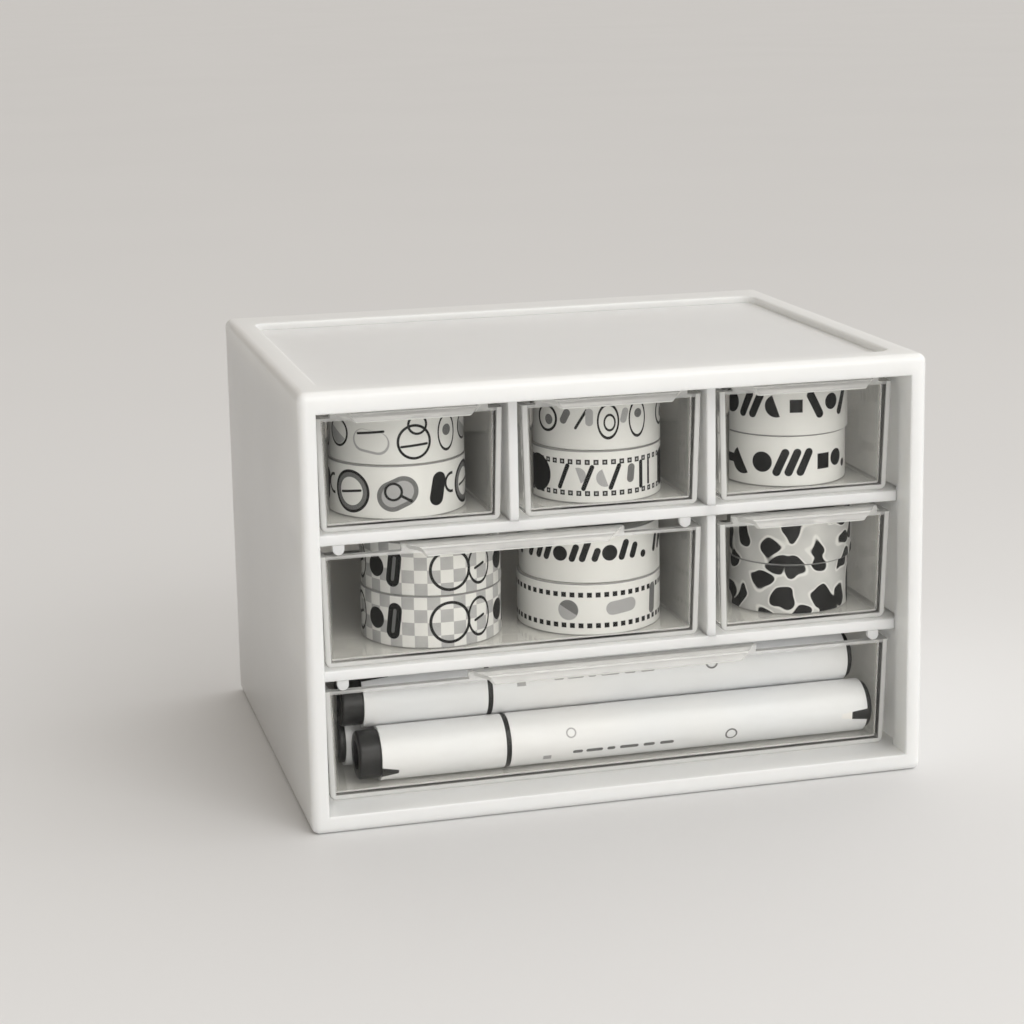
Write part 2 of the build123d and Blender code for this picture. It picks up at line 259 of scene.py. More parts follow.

# %% [markdown]
# ## The clear trays
# The trays are clear polystyrene, about 2 mm thick, so their edges and corners bend what
# is behind them and show as dark and bright lines. Real glass shading on the solid walls
# gives that by itself. Lamps are let straight through by the Light Path node, because
# otherwise everything in the trays would be in deep shadow. Where such a moulding is seen
# edge on it gathers light and looks white. That light is painted in as a highlight: a matt
# white share is mixed in on the front's bottom and side edges, on the handle's ledge and
# where a surface is seen at a slant. A faint flow of the melt is left in its gloss.

# %% Where a tray gets a painted highlight
# Lengths are in millimetres. Facing counts from 0, turned away, to 1, turned straight to
# the front or up. The three shares on the first line are how much painted highlight, a
# matt white, each kind of edge gets.
edge_highlight_share, ledge_highlight_share, rounded_highlight_share = 0.72, 0.38, 0.75
floor_band, wall_band, band_edge = 1.5, 1.7, 0.35
ledge_height, ledge_edge = 3.0, 0.2
rise_edge = 0.5
draft_slope = math.tan(math.radians(1.6))
front_from, front_over = 0.4, 0.3
up_from, up_over = 0.7, 0.2
level_from, level_over = 0.9, 0.05
rounded_from, rounded_over = 0.16, 0.12


def ramp(field, start, width):
    """0 up to the start, 1 from start + width on, and straight between."""
    return ((field - start) * (1 / width)).limited()


def depth_under_side(aside, rise, half_width, height):
    """Millimetres from a point of the front in to the nearer side of the tray. The side
    leans out by the draft, so at that height it is half the width at the top, less the
    slope times the height that is left, and the depth is that less |x|."""
    return rise * draft_slope + (half_width - height * draft_slope) - aside


def painted_edge_highlights(tree, where, node):
    """The share of painted highlight, a matt white for the light that a tray's thick edges
    gather. On its front that is the band within a floor's thickness of the foot and within a
    wall's thickness of either side. On the handle it is the whole ledge, and the rounded
    edges between up and front."""
    low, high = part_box(node)
    height, half_width = (high[2] - low[2]) * millimetres, (high[0] - low[0]) / 2 * millimetres
    across, _, up_from_foot = split(tree, moved(tree, where, (-(low[0] + high[0]) / 2, 0, -low[2])))
    aside, rise = abs(across) * millimetres, up_from_foot * millimetres
    depth = depth_under_side(aside, rise, half_width, height)
    band = (rise * -1.0 + floor_band).most(depth * -1.0 + wall_band)
    _, backward, up = split(tree, add_node(tree, "ShaderNodeNewGeometry").outputs["Normal"])
    front = backward * -1.0
    at_front = ramp(front, front_from, front_over)
    on_ledge = ramp(rise, height - ledge_height, ledge_edge)
    whitened = ramp(band, -band_edge / 2, band_edge) * at_front * edge_highlight_share
    whitened = whitened.most(on_ledge * at_front.most(ramp(up, up_from, up_over)) * ledge_highlight_share)
    level = ramp(up, level_from, level_over) * ramp(rise, ledge_height, rise_edge)
    whitened = whitened.most(level * ledge_highlight_share)
    return whitened.most(ramp(abs(up) * front, rounded_from, rounded_over) * rounded_highlight_share)


print("a tray's side leans out by %.3f mm for each mm of height" % draft_slope)

# %% Finish of the trays
tray_tint = (0.965, 0.962, 0.945, 1)
tray_bend = 1.5
tray_mirror = grey(0.15)
tray_haze = 0.02
flow_scale, flow_height = 30.0, 0.000008
lamp_tint = (0.94, 0.93, 0.91, 1)
# The white of the painted highlight, and how much of it a surface seen at a slant gets.
highlight_white = (0.80, 0.80, 0.78, 1)
slant_highlight_share, slant_highlight_power = 0.5, 2.6


def mixed_shader(tree, share, first, second):
    """The first node's shader where share is 0 and the second's where it is 1."""
    mix = tree.nodes.new("ShaderNodeMixShader")
    for socket, value in zip(mix.inputs, (share, first.outputs[0], second.outputs[0])):
        feed(tree, socket, value)
    return mix


def clear_plastic(node):
    """Glass for what is seen, plain see-through for rays that come from the lamps, and a
    matt white share, a painted highlight, at the thick edges and where the surface is seen
    at a slant."""
    finish, tree, shader = new_finish(node + "_clear")
    where = object_place(tree)
    shader.inputs["Base Color"].default_value = tray_tint
    shader.inputs["IOR"].default_value = tray_bend
    shader.inputs["Specular Tint"].default_value = tray_mirror
    shader.inputs["Transmission Weight"].default_value = 1.0
    flow = noise(tree, where, flow_scale)
    feed(tree, shader.inputs["Roughness"], flow * tray_haze)
    raise_surface(tree, shader, flow, flow_height)
    through = add_node(tree, "ShaderNodeBsdfTransparent", {"Color": lamp_tint})
    grazing = Field(tree, add_node(tree, "ShaderNodeLayerWeight").outputs["Facing"])
    painted_highlight = add_node(tree, "ShaderNodeBsdfDiffuse", {"Color": highlight_white})
    # How much painted highlight each point gets: on its thick edges, or where it is seen at a slant.
    share = painted_edge_highlights(tree, where, node).most(grazing.math("POWER", slant_highlight_power) * slant_highlight_share)
    body = mixed_shader(tree, share, shader, painted_highlight)
    path = tree.nodes.new("ShaderNodeLightPath")
    seen = mixed_shader(tree, path.outputs["Is Shadow Ray"], body, through)
    output = next(node for node in tree.nodes if node.type == "OUTPUT_MATERIAL")
    feed(tree, output.inputs["Surface"], seen.outputs[0])
    return finish


tray_nodes = [name for name in nodes if name.startswith("drawer_")]
for name in tray_nodes:
    dress([name], clear_plastic(name))

# %% [markdown]
# ## Drawing small prints
# The markers and the tape carry small prints. They are drawn in millimetres: x along the
# piece and y across it. Each motif is a distance field, negative inside the shape, so discs,
# rings, bars and boxes are one short formula each. A motif is inked where its distance is
# below zero, with an edge as soft as ink on paper. The prints are abstract and belong to
# this model alone: rings, pebbles, dots, bars, squares, checks and cow spots.

# %% Distance fields for motifs
ink_edge = 0.16


def disc(x, y, radius, squash=1.0):
    """Distance from the middle, less the radius. Squash narrows it along the tape."""
    along = x * (1 / squash)
    return (along * along + y * y).math("SQRT") - radius


def ring(x, y, radius, line, squash=1.0):
    """How far the point is from the circle, less half the line."""
    return abs(disc(x, y, radius, squash)) - line / 2


def bar(x, y, length, thickness, angle):
    """A round-ended bar: the distance from a segment through the middle, less half the
    thickness. The point is first turned into the bar's own directions."""
    cosine, sine = math.cos(math.radians(angle)), math.sin(math.radians(angle))
    along = abs(x * cosine + y * sine) - (length - thickness) / 2
    aside = x * -sine + y * cosine
    past = along.most(0.0)
    return (past * past + aside * aside).math("SQRT") - thickness / 2


def block(x, y, width, height):
    """The greater of how far the point is past the sides and past the ends."""
    return (abs(x) - width / 2).most(abs(y) - height / 2)


def cut(x, y, radius, angle):
    """Half of a disc: the disc, and the side of a line through its middle."""
    cosine, sine = math.cos(math.radians(angle)), math.sin(math.radians(angle))
    return disc(x, y, radius).most(x * cosine + y * sine)


def key(x, y, length, root, tip):
    """A blunt wedge that starts at x = 0: |y| less half the width, which falls in a straight
    line from root to tip, or how far x is past the length if that is more."""
    half_width = x * ((tip - root) / (2 * length)) + root / 2
    return (abs(y) - half_width).most(x - length)


shapes = {"disc": disc, "ring": ring, "bar": bar, "block": block, "cut": cut, "key": key}


def inked(distance):
    """1 inside the shape and 0 outside, over the width of a soft ink edge."""
    return (distance * (-1 / ink_edge) + 0.5).limited()


def repeat(x, pitch):
    """The place within one repeat, from minus half a pitch to half a pitch."""
    return x.math("WRAP", pitch / 2, -pitch / 2)


def paint(tree, x, y, colour, motifs):
    """Each motif in its turn, mixed over what lies below it."""
    for shape, middle_x, middle_y, sizes, tone in motifs:
        distance = shapes[shape](x - middle_x, y - middle_y, *sizes)
        colour = blend_colour(tree, inked(distance), colour, tone)
    return colour


print("motif shapes:", ", ".join(shapes))

# %% [markdown]
# ## The markers
# Each marker is a satin white tube with a black plug at one end, a black disc at the other
# and a dark seam where the cap begins. Plug and disc each send a short black key into the
# white of the sleeve. On the front cap the key is painted, flush as on the real pen, and
# past its length the solid keys at the right take the sleeve's white. The plain white is
# broken by a very soft pearly drift of tone along the tube, and by small grey marks, kept
# abstract, where a pen would carry its print.

# %% Marks on the markers
# Lengths are in millimetres: along the sleeve from its left end, and round it from the top.
sleeve_warm = (0.77, 0.755, 0.735, 1)
sleeve_cool = (0.66, 0.685, 0.72, 1)
mark_dark, mark_soft, key_black = grey(0.13), grey(0.33), grey(0.02)
key_shown, key_root, key_tip, key_place = 4.8, 3.6, 1.3, -16.0
low_row, high_row, dash_thickness = -15.4, -8.8, 1.1
dashes = [(19.6, 3.0), (24.6, 5.0), (29.6, 2.4), (35.0, 5.6), (41.0, 3.4), (46.4, 4.2)]


def row_of_dashes(place, tone):
    """A straight row of dashes along the sleeve, at that distance round it."""
    return [("bar", x, place, (length, dash_thickness, 0), tone) for x, length in dashes]


sleeve_marks = {
    "marker_front_cap": [("key", 0.0, key_place, (key_shown, key_root, key_tip), key_black)],
    "marker_front_barrel": row_of_dashes(low_row, mark_dark) + [
        ("ring", 17.6, -9.4, (1.3, 0.45), mark_soft), ("ring", 66.0, -14.8, (1.6, 0.5), mark_dark),
        ("block", 10.6, -16.6, (2.4, 1.6), mark_soft),
    ],
    "marker_upper_barrel": row_of_dashes(high_row, mark_soft) + [
        ("block", 8.4, -8.8, (2.6, 2.6), mark_soft), ("ring", 66.0, -8.4, (1.7, 0.55), mark_dark),
    ],
    "marker_rear_barrel": row_of_dashes(low_row, mark_dark),
}


def along_and_round(tree, where, node):
    """Millimetres along the sleeve from its left end, and millimetres round it from its top,
    counted negative towards the front: radius times the arc tangent of y over z."""
    low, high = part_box(node)
    end = (-low[0], -(low[1] + high[1]) / 2, -(low[2] + high[2]) / 2)
    x, y, z = split(tree, moved(tree, where, end))
    radius = (high[1] - low[1]) / 2 * millimetres
    return x * millimetres, y.math("ARCTAN2", z) * radius


print("marks on", ", ".join(sleeve_marks))

# %% Finishes of the markers
pearl_scale, pearl_detail = 26.0, 1.0
sleeve_gloss, sleeve_gloss_drift, sleeve_gloss_scale = 0.36, 0.1, 300.0
sleeve_grain, sleeve_grain_height = 900.0, 0.00002
plug_dark, plug_dusty = grey(0.008), grey(0.03)
dust_scale, dust_detail = 350.0, 4.0
plug_gloss, plug_gloss_drift, plug_shine = 0.22, 0.2, 0.3
plug_grain, plug_grain_height = 700.0, 0.00003
disc_thickness = 1.9


def satin_sleeve(name, marked_node=None):
    """Satin white tube whose tone drifts between a warm and a cool white, with its marks."""
    finish, tree, shader = new_finish(name)
    where = object_place(tree)
    drift = noise(tree, where, pearl_scale, pearl_detail)
    colour = blend_colour(tree, drift, sleeve_warm, sleeve_cool)
    if marked_node:
        x, y = along_and_round(tree, where, marked_node)
        colour = paint(tree, x, y, colour, sleeve_marks[marked_node])
    feed(tree, shader.inputs["Base Color"], colour)
    gloss_drift = noise(tree, where, sleeve_gloss_scale)
    feed(tree, shader.inputs["Roughness"], gloss_drift * sleeve_gloss_drift + sleeve_gloss)
    raise_surface(tree, shader, noise(tree, where, sleeve_grain), sleeve_grain_height)
    return finish


def black_plug(name, key_end=None):
    """Glossy black plastic with a little dust in the gloss. Left of the key's shown end, if
    that is given in metres, the piece has the white of the sleeve it is set in."""
    finish, tree, shader = new_finish(name)
    where = object_place(tree)
    dust = noise(tree, where, dust_scale, dust_detail)
    colour = blend_colour(tree, dust, plug_dark, plug_dusty)
    if key_end is not None:
        past_key = (split(tree, where)[0] - key_end) * millimetres
        colour = blend_colour(tree, inked(past_key), colour, sleeve_warm)
    feed(tree, shader.inputs["Base Color"], colour)
    feed(tree, shader.inputs["Roughness"], dust * plug_gloss_drift + plug_gloss)
    shader.inputs["Specular IOR Level"].default_value = plug_shine
    raise_surface(tree, shader, noise(tree, where, plug_grain), plug_grain_height)
    return finish


half_white = ["marker_front_disc", "marker_upper_disc"]
sleeves = ("_cap", "_barrel")
black_parts = [name for name in nodes if name.startswith("marker_") and not name.endswith(sleeves)]
dress([name for name in black_parts if name not in half_white], black_plug("black_plug"))
for name in half_white:
    right_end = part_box(name)[1][0]
    dress([name], black_plug(name + "_black", right_end - (disc_thickness + key_shown) / millimetres))
dress(["marker_upper_cap", "marker_rear_cap"], satin_sleeve("satin_sleeve"))
for name in sleeve_marks:
    dress([name], satin_sleeve(name + "_sleeve", name))

# %% [markdown]
# ## The cores
# Tape is wound on a short tube of pale board. Its cut end shows the layers of the board
# as fine rings about the roll's own middle, so the pattern is a wave of the distance from
# that middle. Each roll has its own middle, and a Mapping node moves the pattern there.

# %% Finish of the board cores
board_light, board_dark = (0.72, 0.70, 0.66, 1), (0.56, 0.54, 0.50, 1)
board_layer, board_layer_share = 0.0004, 0.35
fibre_scale, fibre_detail, fibre_height = 500.0, 4.0, 0.00004
board_matt, board_matt_drift = 0.65, 0.2


def board_core(name):
    """Pale board with fine rings about the middle of one roll."""
    low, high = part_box(name)
    finish, tree, shader = new_finish(name + "_board")
    where = object_place(tree)
    x, y, _ = split(tree, moved(tree, where, (-(low[0] + high[0]) / 2, -(low[1] + high[1]) / 2, 0)))
    from_middle = (x * x + y * y).math("SQRT")
    rings = (from_middle * (2 * math.pi / board_layer)).math("SINE") * 0.5 + 0.5
    fibres = noise(tree, where, fibre_scale, fibre_detail)
    mottle = rings * board_layer_share + fibres * (1 - board_layer_share)
    feed(tree, shader.inputs["Base Color"], blend_colour(tree, mottle, board_light, board_dark))
    feed(tree, shader.inputs["Roughness"], fibres * board_matt_drift + board_matt)
    raise_surface(tree, shader, mottle, fibre_height)
    return finish


core_nodes = [name for name in nodes if name.endswith("_core")]
for name in core_nodes:
    nodes[name].material_slots[0].material = board_core(name)
print("board finish on", len(core_nodes), "cores")

# %% [markdown]
# ## Surfaces from numpy grids
# A wound roll of tape is a surface of revolution that isn't quite one: each layer lies on
# the one before, so the outside is a spiral with a small step where the tape ends. It is
# worked out as a grid, one direction along the roll's section and one round its axis, and
# both directions close on themselves.

# %% Mesh from a closed grid of points


def closed_grid(name, points, across, around):
    """Points is (n, m, 3). Each grid cell is one face, and the last row and column join the
    first. Across and around are the pattern's two coordinates at the n + 1 and m + 1 lines."""
    n, m = points.shape[:2]
    row, column = np.meshgrid(np.arange(n), np.arange(m), indexing="ij")
    corners = [(row, column), (row, column + 1), (row + 1, column + 1), (row + 1, column)]
    faces = np.stack([(a % n) * m + b % m for a, b in corners], axis=-1).reshape(-1, 4)
    pattern = np.stack([np.stack([around[b], across[a]], axis=-1) for a, b in corners], axis=2)
    mesh = bpy.data.meshes.new(name)
    mesh.from_pydata(points.reshape(-1, 3).tolist(), [], faces.tolist())
    layer = mesh.uv_layers.new(name="wrap")
    layer.data.foreach_set("uv", pattern.astype(np.float32).ravel())
    mesh.polygons.foreach_set("use_smooth", np.ones(len(faces), bool))
    mesh.update()
    made = bpy.data.objects.new(name, mesh)
    bpy.context.scene.collection.objects.link(made)
    return made


def enclosed_volume(points):
    """Sum over cells of the volume between the cell and the origin, in cubic metres. It is
    positive where the faces point outwards."""
    here = points
    down = np.roll(points, -1, axis=0)
    beside = np.roll(points, -1, axis=1)
    over = np.roll(down, -1, axis=1)
    first = np.einsum("ijk,ijk->ij", here, np.cross(beside, over))
    second = np.einsum("ijk,ijk->ij", here, np.cross(over, down))
    return float((first + second).sum() / 6)


# %% Try the volume on a ring that is known
# A ring of radius 2 with a round section of radius 1 holds 4 pi squared, and a little less
# on a grid of flat cells. Its rows go round the section, from the outside over the top.
trial_count = 96
steps = np.linspace(0, math.tau, trial_count, endpoint=False)
slant, turn = np.meshgrid(steps, steps, indexing="ij")
reach = 2 + np.cos(slant)
trial_ring = np.stack([reach * np.sin(turn), -reach * np.cos(turn), np.sin(slant)], axis=-1)
print("ring holds %.2f, formula %.2f" % (enclosed_volume(trial_ring), 4 * math.pi ** 2))

# %% [markdown]
# ## The section of a roll
# The section starts at the bottom of the outer band, goes up it, turns over a soft corner,
# runs inwards over the top, where the layers' edges stand a few hundredths of a millimetre
# apart, goes down beside the core and comes back out under the roll. The second pattern
# coordinate counts the four sides of that walk, so the print knows that it is on the band.

# %% Section of a roll
side_points, corner_points = 27, 5
corner_radius = 0.00055
layer_ripple, layer_pitch = 0.00006, 0.00046
side_count = 4


def roll_section(outer, inner, width):
    """The section as rows (radius, height, side coordinate, share of the way out).
    Each corner is a quarter circle. On the flat sides the height dips by ripple times
    (1 - cos of the radius over the layer pitch)."""
    turn = np.linspace(0, math.pi / 2, corner_points)
    sine, cosine = corner_radius * np.sin(turn), corner_radius * np.cos(turn)
    flat = outer - corner_radius
    radius = np.linspace(flat, inner, side_points)[1:]
    dip = layer_ripple * (1 - np.cos(math.tau * (flat - radius) / layer_pitch)) / 2
    low_corner = np.stack([flat + sine, corner_radius - cosine])
    high_corner = np.stack([flat + cosine, width - corner_radius + sine])
    top = np.stack([radius, width - dip])
    bottom = np.stack([radius[::-1], dip[::-1]])
    r, z = np.concatenate([low_corner, high_corner, top, bottom], axis=1)
    band = 2 * corner_points
    side = np.concatenate([z[:band] / width, np.linspace(1, 2, side_points)[1:],
                           np.linspace(3, side_count, side_points)[:-1]])
    return r, z, side, (r - inner) / (outer - inner)


print("section of", 2 * (corner_points + side_points - 1), "points")

# %% Wind one roll
around_count = 160
end_step, end_width = 0.00016, 0.004


def wind_roll(node, seam_turn):
    """Point = middle + (r sin t, -r cos t, z), with t the turn from the front. Its radius
    shrinks by the end step over one turn, in step with how far out in the winding it is."""
    low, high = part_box(node)
    core_low, core_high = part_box(node.replace("_tape", "_core"))
    middle = np.array((low + high) / 2)
    outer, inner = (high[0] - low[0]) / 2, (core_high[0] - core_low[0]) / 2
    width = high[2] - low[2]
    r, z, side, out = roll_section(outer, inner, width)
    share = np.append(np.linspace(0, 1 - end_width / math.tau, around_count), 1.0)
    turn = share[:-1] * math.tau + seam_turn
    radius = r[:, None] - end_step * share[None, :-1] * out[:, None]
    place = np.stack([middle[0] + radius * np.sin(turn), middle[1] - radius * np.cos(turn),
                      np.broadcast_to(low[2] + z[:, None], radius.shape)], axis=-1)
    piece = closed_grid(node + "_wound", place, np.append(side, side_count) / side_count, share)
    measured = outer * millimetres, enclosed_volume(place) * cubic_centimetres
    print(piece.name, "radius %.1f mm, volume %.1f cm3" % measured)
    return piece, outer


# %% [markdown]
# ## The designs
# Each design is a table of motifs. A design repeats along the tape, as a printed tape does,
# and some lie over a plain ground of checks or of two rows of small squares. Tones are
# paper, two greys and ink.

# %% Tables of motifs
# Each design is how long its repeat is, and its motifs: the shape, how far along and up its
# middle lies, its sizes, and its tone. Lengths are in millimetres and turns in degrees.
paper, pale, mid, ink = (0.665, 0.665, 0.645, 1), grey(0.34), grey(0.14), grey(0.008)
tape_height = 15.0

pebbles_low = (39.0, [
    ("disc", -12.5, 7.4, (5.7,), mid), ("ring", -12.5, 7.4, (5.7, 0.8), ink),
    ("disc", -12.5, 7.4, (4.0,), paper), ("bar", -12.5, 7.4, (7.4, 0.7, 8), ink),
    ("bar", 1.6, 7.2, (12.0, 8.6, 24), mid), ("bar", 1.6, 7.2, (9.4, 6.0, 24), pale),
    ("ring", 0.4, 7.8, (2.3, 0.7), ink), ("bar", 4.0, 5.8, (4.0, 0.8, -30), ink),
    ("bar", 13.6, 7.6, (9.5, 4.6, 78), ink), ("ring", 19.0, 8.6, (2.6, 0.8), ink),
])
pebbles_high = (44.0, [
    ("ring", -17.5, 8.4, (3.8, 0.7), ink), ("cut", -17.5, 8.4, (3.3, 60), pale),
    ("bar", -6.0, 6.6, (11.0, 6.4, -10), pale), ("bar", -6.0, 6.9, (10.0, 5.6, -10), paper),
    ("bar", -6.0, 9.2, (8.4, 0.7, 6), ink), ("ring", 6.4, 6.4, (4.6, 0.75), ink),
    ("bar", 6.4, 5.4, (8.0, 0.7, 4), ink), ("ring", 7.4, 11.2, (2.6, 0.7), ink),
    ("ring", 17.0, 8.0, (5.0, 0.8, 0.62), ink), ("disc", 17.0, 8.6, (1.6,), mid),
])
ovals_high = (41.0, [
    ("ring", -16.0, 8.6, (3.6, 0.8), ink), ("disc", -15.2, 8.2, (1.5,), mid),
    ("bar", -9.4, 9.6, (4.6, 2.2, 62), mid), ("bar", -4.6, 9.0, (6.8, 0.8, 58), ink),
    ("bar", -2.2, 9.6, (5.0, 2.2, 90), pale), ("ring", 3.2, 8.4, (4.8, 0.85, 0.62), ink),
    ("ring", 3.6, 8.0, (2.2, 0.7, 0.7), ink), ("bar", 8.0, 9.8, (4.4, 2.0, 75), pale),
    ("ring", 12.4, 8.6, (5.1, 0.85, 0.55), ink), ("disc", 12.6, 10.0, (1.3,), mid),
])
perforated_low = (46.0, [
    ("disc", -19.5, 7.6, (5.4,), ink), ("bar", -9.6, 7.6, (8.0, 1.3, 68), ink),
    ("cut", -5.2, 8.0, (2.3, 200), pale), ("bar", -2.4, 7.4, (8.0, 1.3, 68), ink),
    ("cut", 2.6, 7.4, (2.6, 20), pale), ("bar", 5.4, 7.6, (8.0, 1.3, 68), ink),
    ("bar", 10.4, 8.2, (5.4, 2.3, 84), mid), ("bar", 14.0, 7.4, (8.2, 1.3, 90), ink),
    ("bar", 17.2, 7.6, (7.4, 0.9, 90), ink),
])
strokes_high = (49.0, [
    ("disc", -20.0, 9.0, (3.3,), ink), ("bar", -13.8, 9.0, (8.4, 2.3, 66), ink),
    ("bar", -10.4, 9.0, (8.4, 2.3, 66), ink), ("cut", -4.4, 8.8, (3.3, 20), ink),
    ("block", 1.4, 8.8, (3.8, 3.8), ink), ("bar", 7.2, 9.0, (8.8, 2.5, -62), ink),
    ("disc", 13.0, 9.4, (2.4,), ink), ("bar", 18.0, 9.0, (8.6, 2.3, 66), ink),
])
strokes_low = (53.0, [
    ("bar", -21.8, 7.2, (8.0, 2.6, 0), ink), ("cut", -14.8, 7.0, (4.0, 30), ink),
    ("disc", -8.2, 7.2, (3.0,), ink), ("bar", -2.6, 7.2, (8.6, 2.4, 66), ink),
    ("bar", 0.9, 7.2, (8.6, 2.4, 66), ink), ("bar", 4.4, 7.2, (8.6, 2.4, 66), ink),
    ("block", 10.6, 7.0, (4.2, 4.6), ink), ("disc", 16.0, 7.4, (2.5,), ink),
    ("disc", 20.4, 5.0, (1.2,), ink),
])
checks = (42.0, [
    ("disc", -16.6, 7.6, (3.1,), ink), ("bar", -10.0, 7.6, (10.6, 4.4, 82), ink),
    ("bar", -10.0, 7.6, (7.2, 1.1, 82), mid), ("ring", 6.6, 7.4, (5.7, 0.85), ink),
    ("ring", 16.0, 7.8, (5.4, 0.85, 0.7), ink), ("bar", 16.0, 7.4, (4.0, 0.8, 20), ink),
])
dashes_high = (43.0, [
    ("bar", -19.0, 9.4, (6.4, 1.9, 70), ink), ("bar", -15.8, 8.6, (4.4, 1.9, 70), ink),
    ("bar", -12.6, 9.4, (6.4, 1.9, 70), ink), ("disc", -8.8, 8.6, (2.2,), ink),
    ("bar", -4.6, 8.9, (5.4, 1.9, 70), ink), ("bar", -1.4, 9.6, (6.8, 1.9, 70), ink),
    ("bar", 1.8, 8.4, (4.2, 1.9, 70), ink), ("disc", 5.8, 8.8, (2.3,), ink),
    ("bar", 10.2, 9.3, (6.2, 2.0, 70), ink), ("bar", 13.6, 8.7, (4.8, 2.0, 70), ink),
    ("disc", 17.4, 7.0, (1.1,), ink),
])
squares_low = (62.0, [
    ("disc", -6.2, 7.4, (3.0,), pale), ("bar", 9.6, 8.0, (9.6, 4.0, 6), pale),
    ("bar", 22.0, 8.2, (9.0, 3.0, 86), mid), ("cut", -6.2, 7.4, (2.9, 240), mid),
])
print("designs ready, the longest repeats every", squares_low[0], "mm")

# %% [markdown]
# ## From table to ink
# A print starts as plain paper. A ground goes on first where there is one, checks, two rows
# of small squares or spots, and the motifs follow in order, each mixed over what lies
# below. On the rolls' sides there is no print, only the edges of the layers, so there the
# print gives way to plain paper. Paper tape has a satin face with fibres, which a fine
# noise gives to its gloss.

# %% Where a point lies on the tape
# Width and tone of the painted shade along both edges of the tape, for the groove between stacked rolls.
seam_shade_width, seam_shade_tone = 0.26, grey(0.3)


def painted_seam_shade(tree, y, colour):
    """A thin grey line of painted shade for the groove where two stacked rolls meet: dark
    within a quarter of a millimetre of either edge of the band."""
    nearer = y.least(y * -1.0 + tape_height)
    return blend_colour(tree, inked(nearer - seam_shade_width), colour, seam_shade_tone)


def wound_coordinates(tree, outer, front_share):
    """Millimetres along the tape from what faces the front, millimetres up the band, and
    1 on the band but 0 on the roll's sides."""
    round_share, walk, _ = split(tree, add_node(tree, "ShaderNodeUVMap", uv_map="wrap").outputs[0])
    along = (round_share - front_share) * (math.tau * outer * millimetres)
    side = walk * float(side_count)
    return along, side * tape_height, side.math("LESS_THAN", 1.0)


# The edges named here carry the painted shade of the groove between stacked rolls.
print("cut edges are %.2f mm wide" % seam_shade_width)

# %% Grounds of checks and of small squares
check_cell = 3.75
check_patch_scale, check_patch, check_least = 240.0, 0.5, 0.6
square_pitch, square_size = 2.5, 1.45
square_rows_up = (tape_height - 3.1, 2.9)
square_hole = square_size * 0.42


def checker_ground(tree, x, y, colour):
    """Grey where the cell's column and row numbers add up to an odd number, a little
    patchy, as printed greys are."""
    column, row = (x * (1 / check_cell)).math("FLOOR"), (y * (1 / check_cell)).math("FLOOR")
    odd = (column + row).math("FLOORED_MODULO", 2.0)
    shade = noise(tree, object_place(tree), check_patch_scale) * check_patch + check_least
    return blend_colour(tree, odd * shade.least(1.0), colour, pale)


def square_rows(tree, x, y, colour, open_squares):
    """Two rows of small squares near the edges, solid or open."""
    within = repeat(x, square_pitch)
    for row in square_rows_up:
        square = block(within, y - row, square_size, square_size)
        colour = blend_colour(tree, inked(square), colour, ink)
        if open_squares:
            hole = block(within, y - row, square_hole, square_hole)
            colour = blend_colour(tree, inked(hole), colour, pale)
    return colour


print("squares of %.2f mm every %.1f mm" % (square_size, square_pitch))

# %% Cow spots
spot_spacing, spot_tone = 7.8, grey(0.012)
spot_radius, spot_rim, spot_edge = 0.36, 0.44, 26.0
spot_round, spot_scatter = 0.35, 0.9
wobble_scale, wobble_detail, spot_wobble = 1.1, 0.5, (1.0, 1.0, 0.0)
patch_scale, patch_detail = 0.9, 1.0


def closer_than(nearest, radius):
    """1 where the distance is under the radius and 0 beyond, over one part in spot_edge."""
    return (nearest * -spot_edge + spot_edge * radius).math("ADD", 0.5, clamp=True)


def cow_spots(tree, x, y):
    """A spot is where the nearest of many scattered points is close, and a noise bends its
    outline. A white rim follows each, and the ground between them is mottled grey."""
    x, y = x * (1 / spot_spacing), y * (1 / spot_spacing)
    where = add_node(tree, "ShaderNodeCombineXYZ", {"X": x, "Y": y}).outputs[0]
    wobble = add_node(tree, "ShaderNodeTexNoise",
                      {"Vector": where, "Scale": wobble_scale, "Detail": wobble_detail}).outputs["Color"]
    bent = add_node(tree, "ShaderNodeVectorMath", {0: wobble, 1: spot_wobble, 2: where},
                    operation="MULTIPLY_ADD").outputs[0]
    scattered = add_node(tree, "ShaderNodeTexVoronoi", voronoi_dimensions="2D", feature="SMOOTH_F1")
    settings = {"Vector": bent, "Scale": 1.0, "Smoothness": spot_round, "Randomness": spot_scatter}
    for socket, value in settings.items():
        feed(tree, scattered.inputs[socket], value)
    nearest = Field(tree, scattered.outputs["Distance"])
    ground = blend_colour(tree, noise(tree, where, patch_scale, patch_detail), paper, pale)
    rimmed = blend_colour(tree, closer_than(nearest, spot_rim), ground, paper)
    return blend_colour(tree, closer_than(nearest, spot_radius), rimmed, spot_tone)


print("spots lie about %.1f mm apart" % spot_spacing)

# %% Print a design on a roll
layer_edge_tone = (0.66, 0.655, 0.63, 1)
print_fibre, print_fibre_detail, print_fibre_height = 900.0, 3.0, 0.00003
print_gloss, print_gloss_drift, print_shine = 0.38, 0.18, 0.2


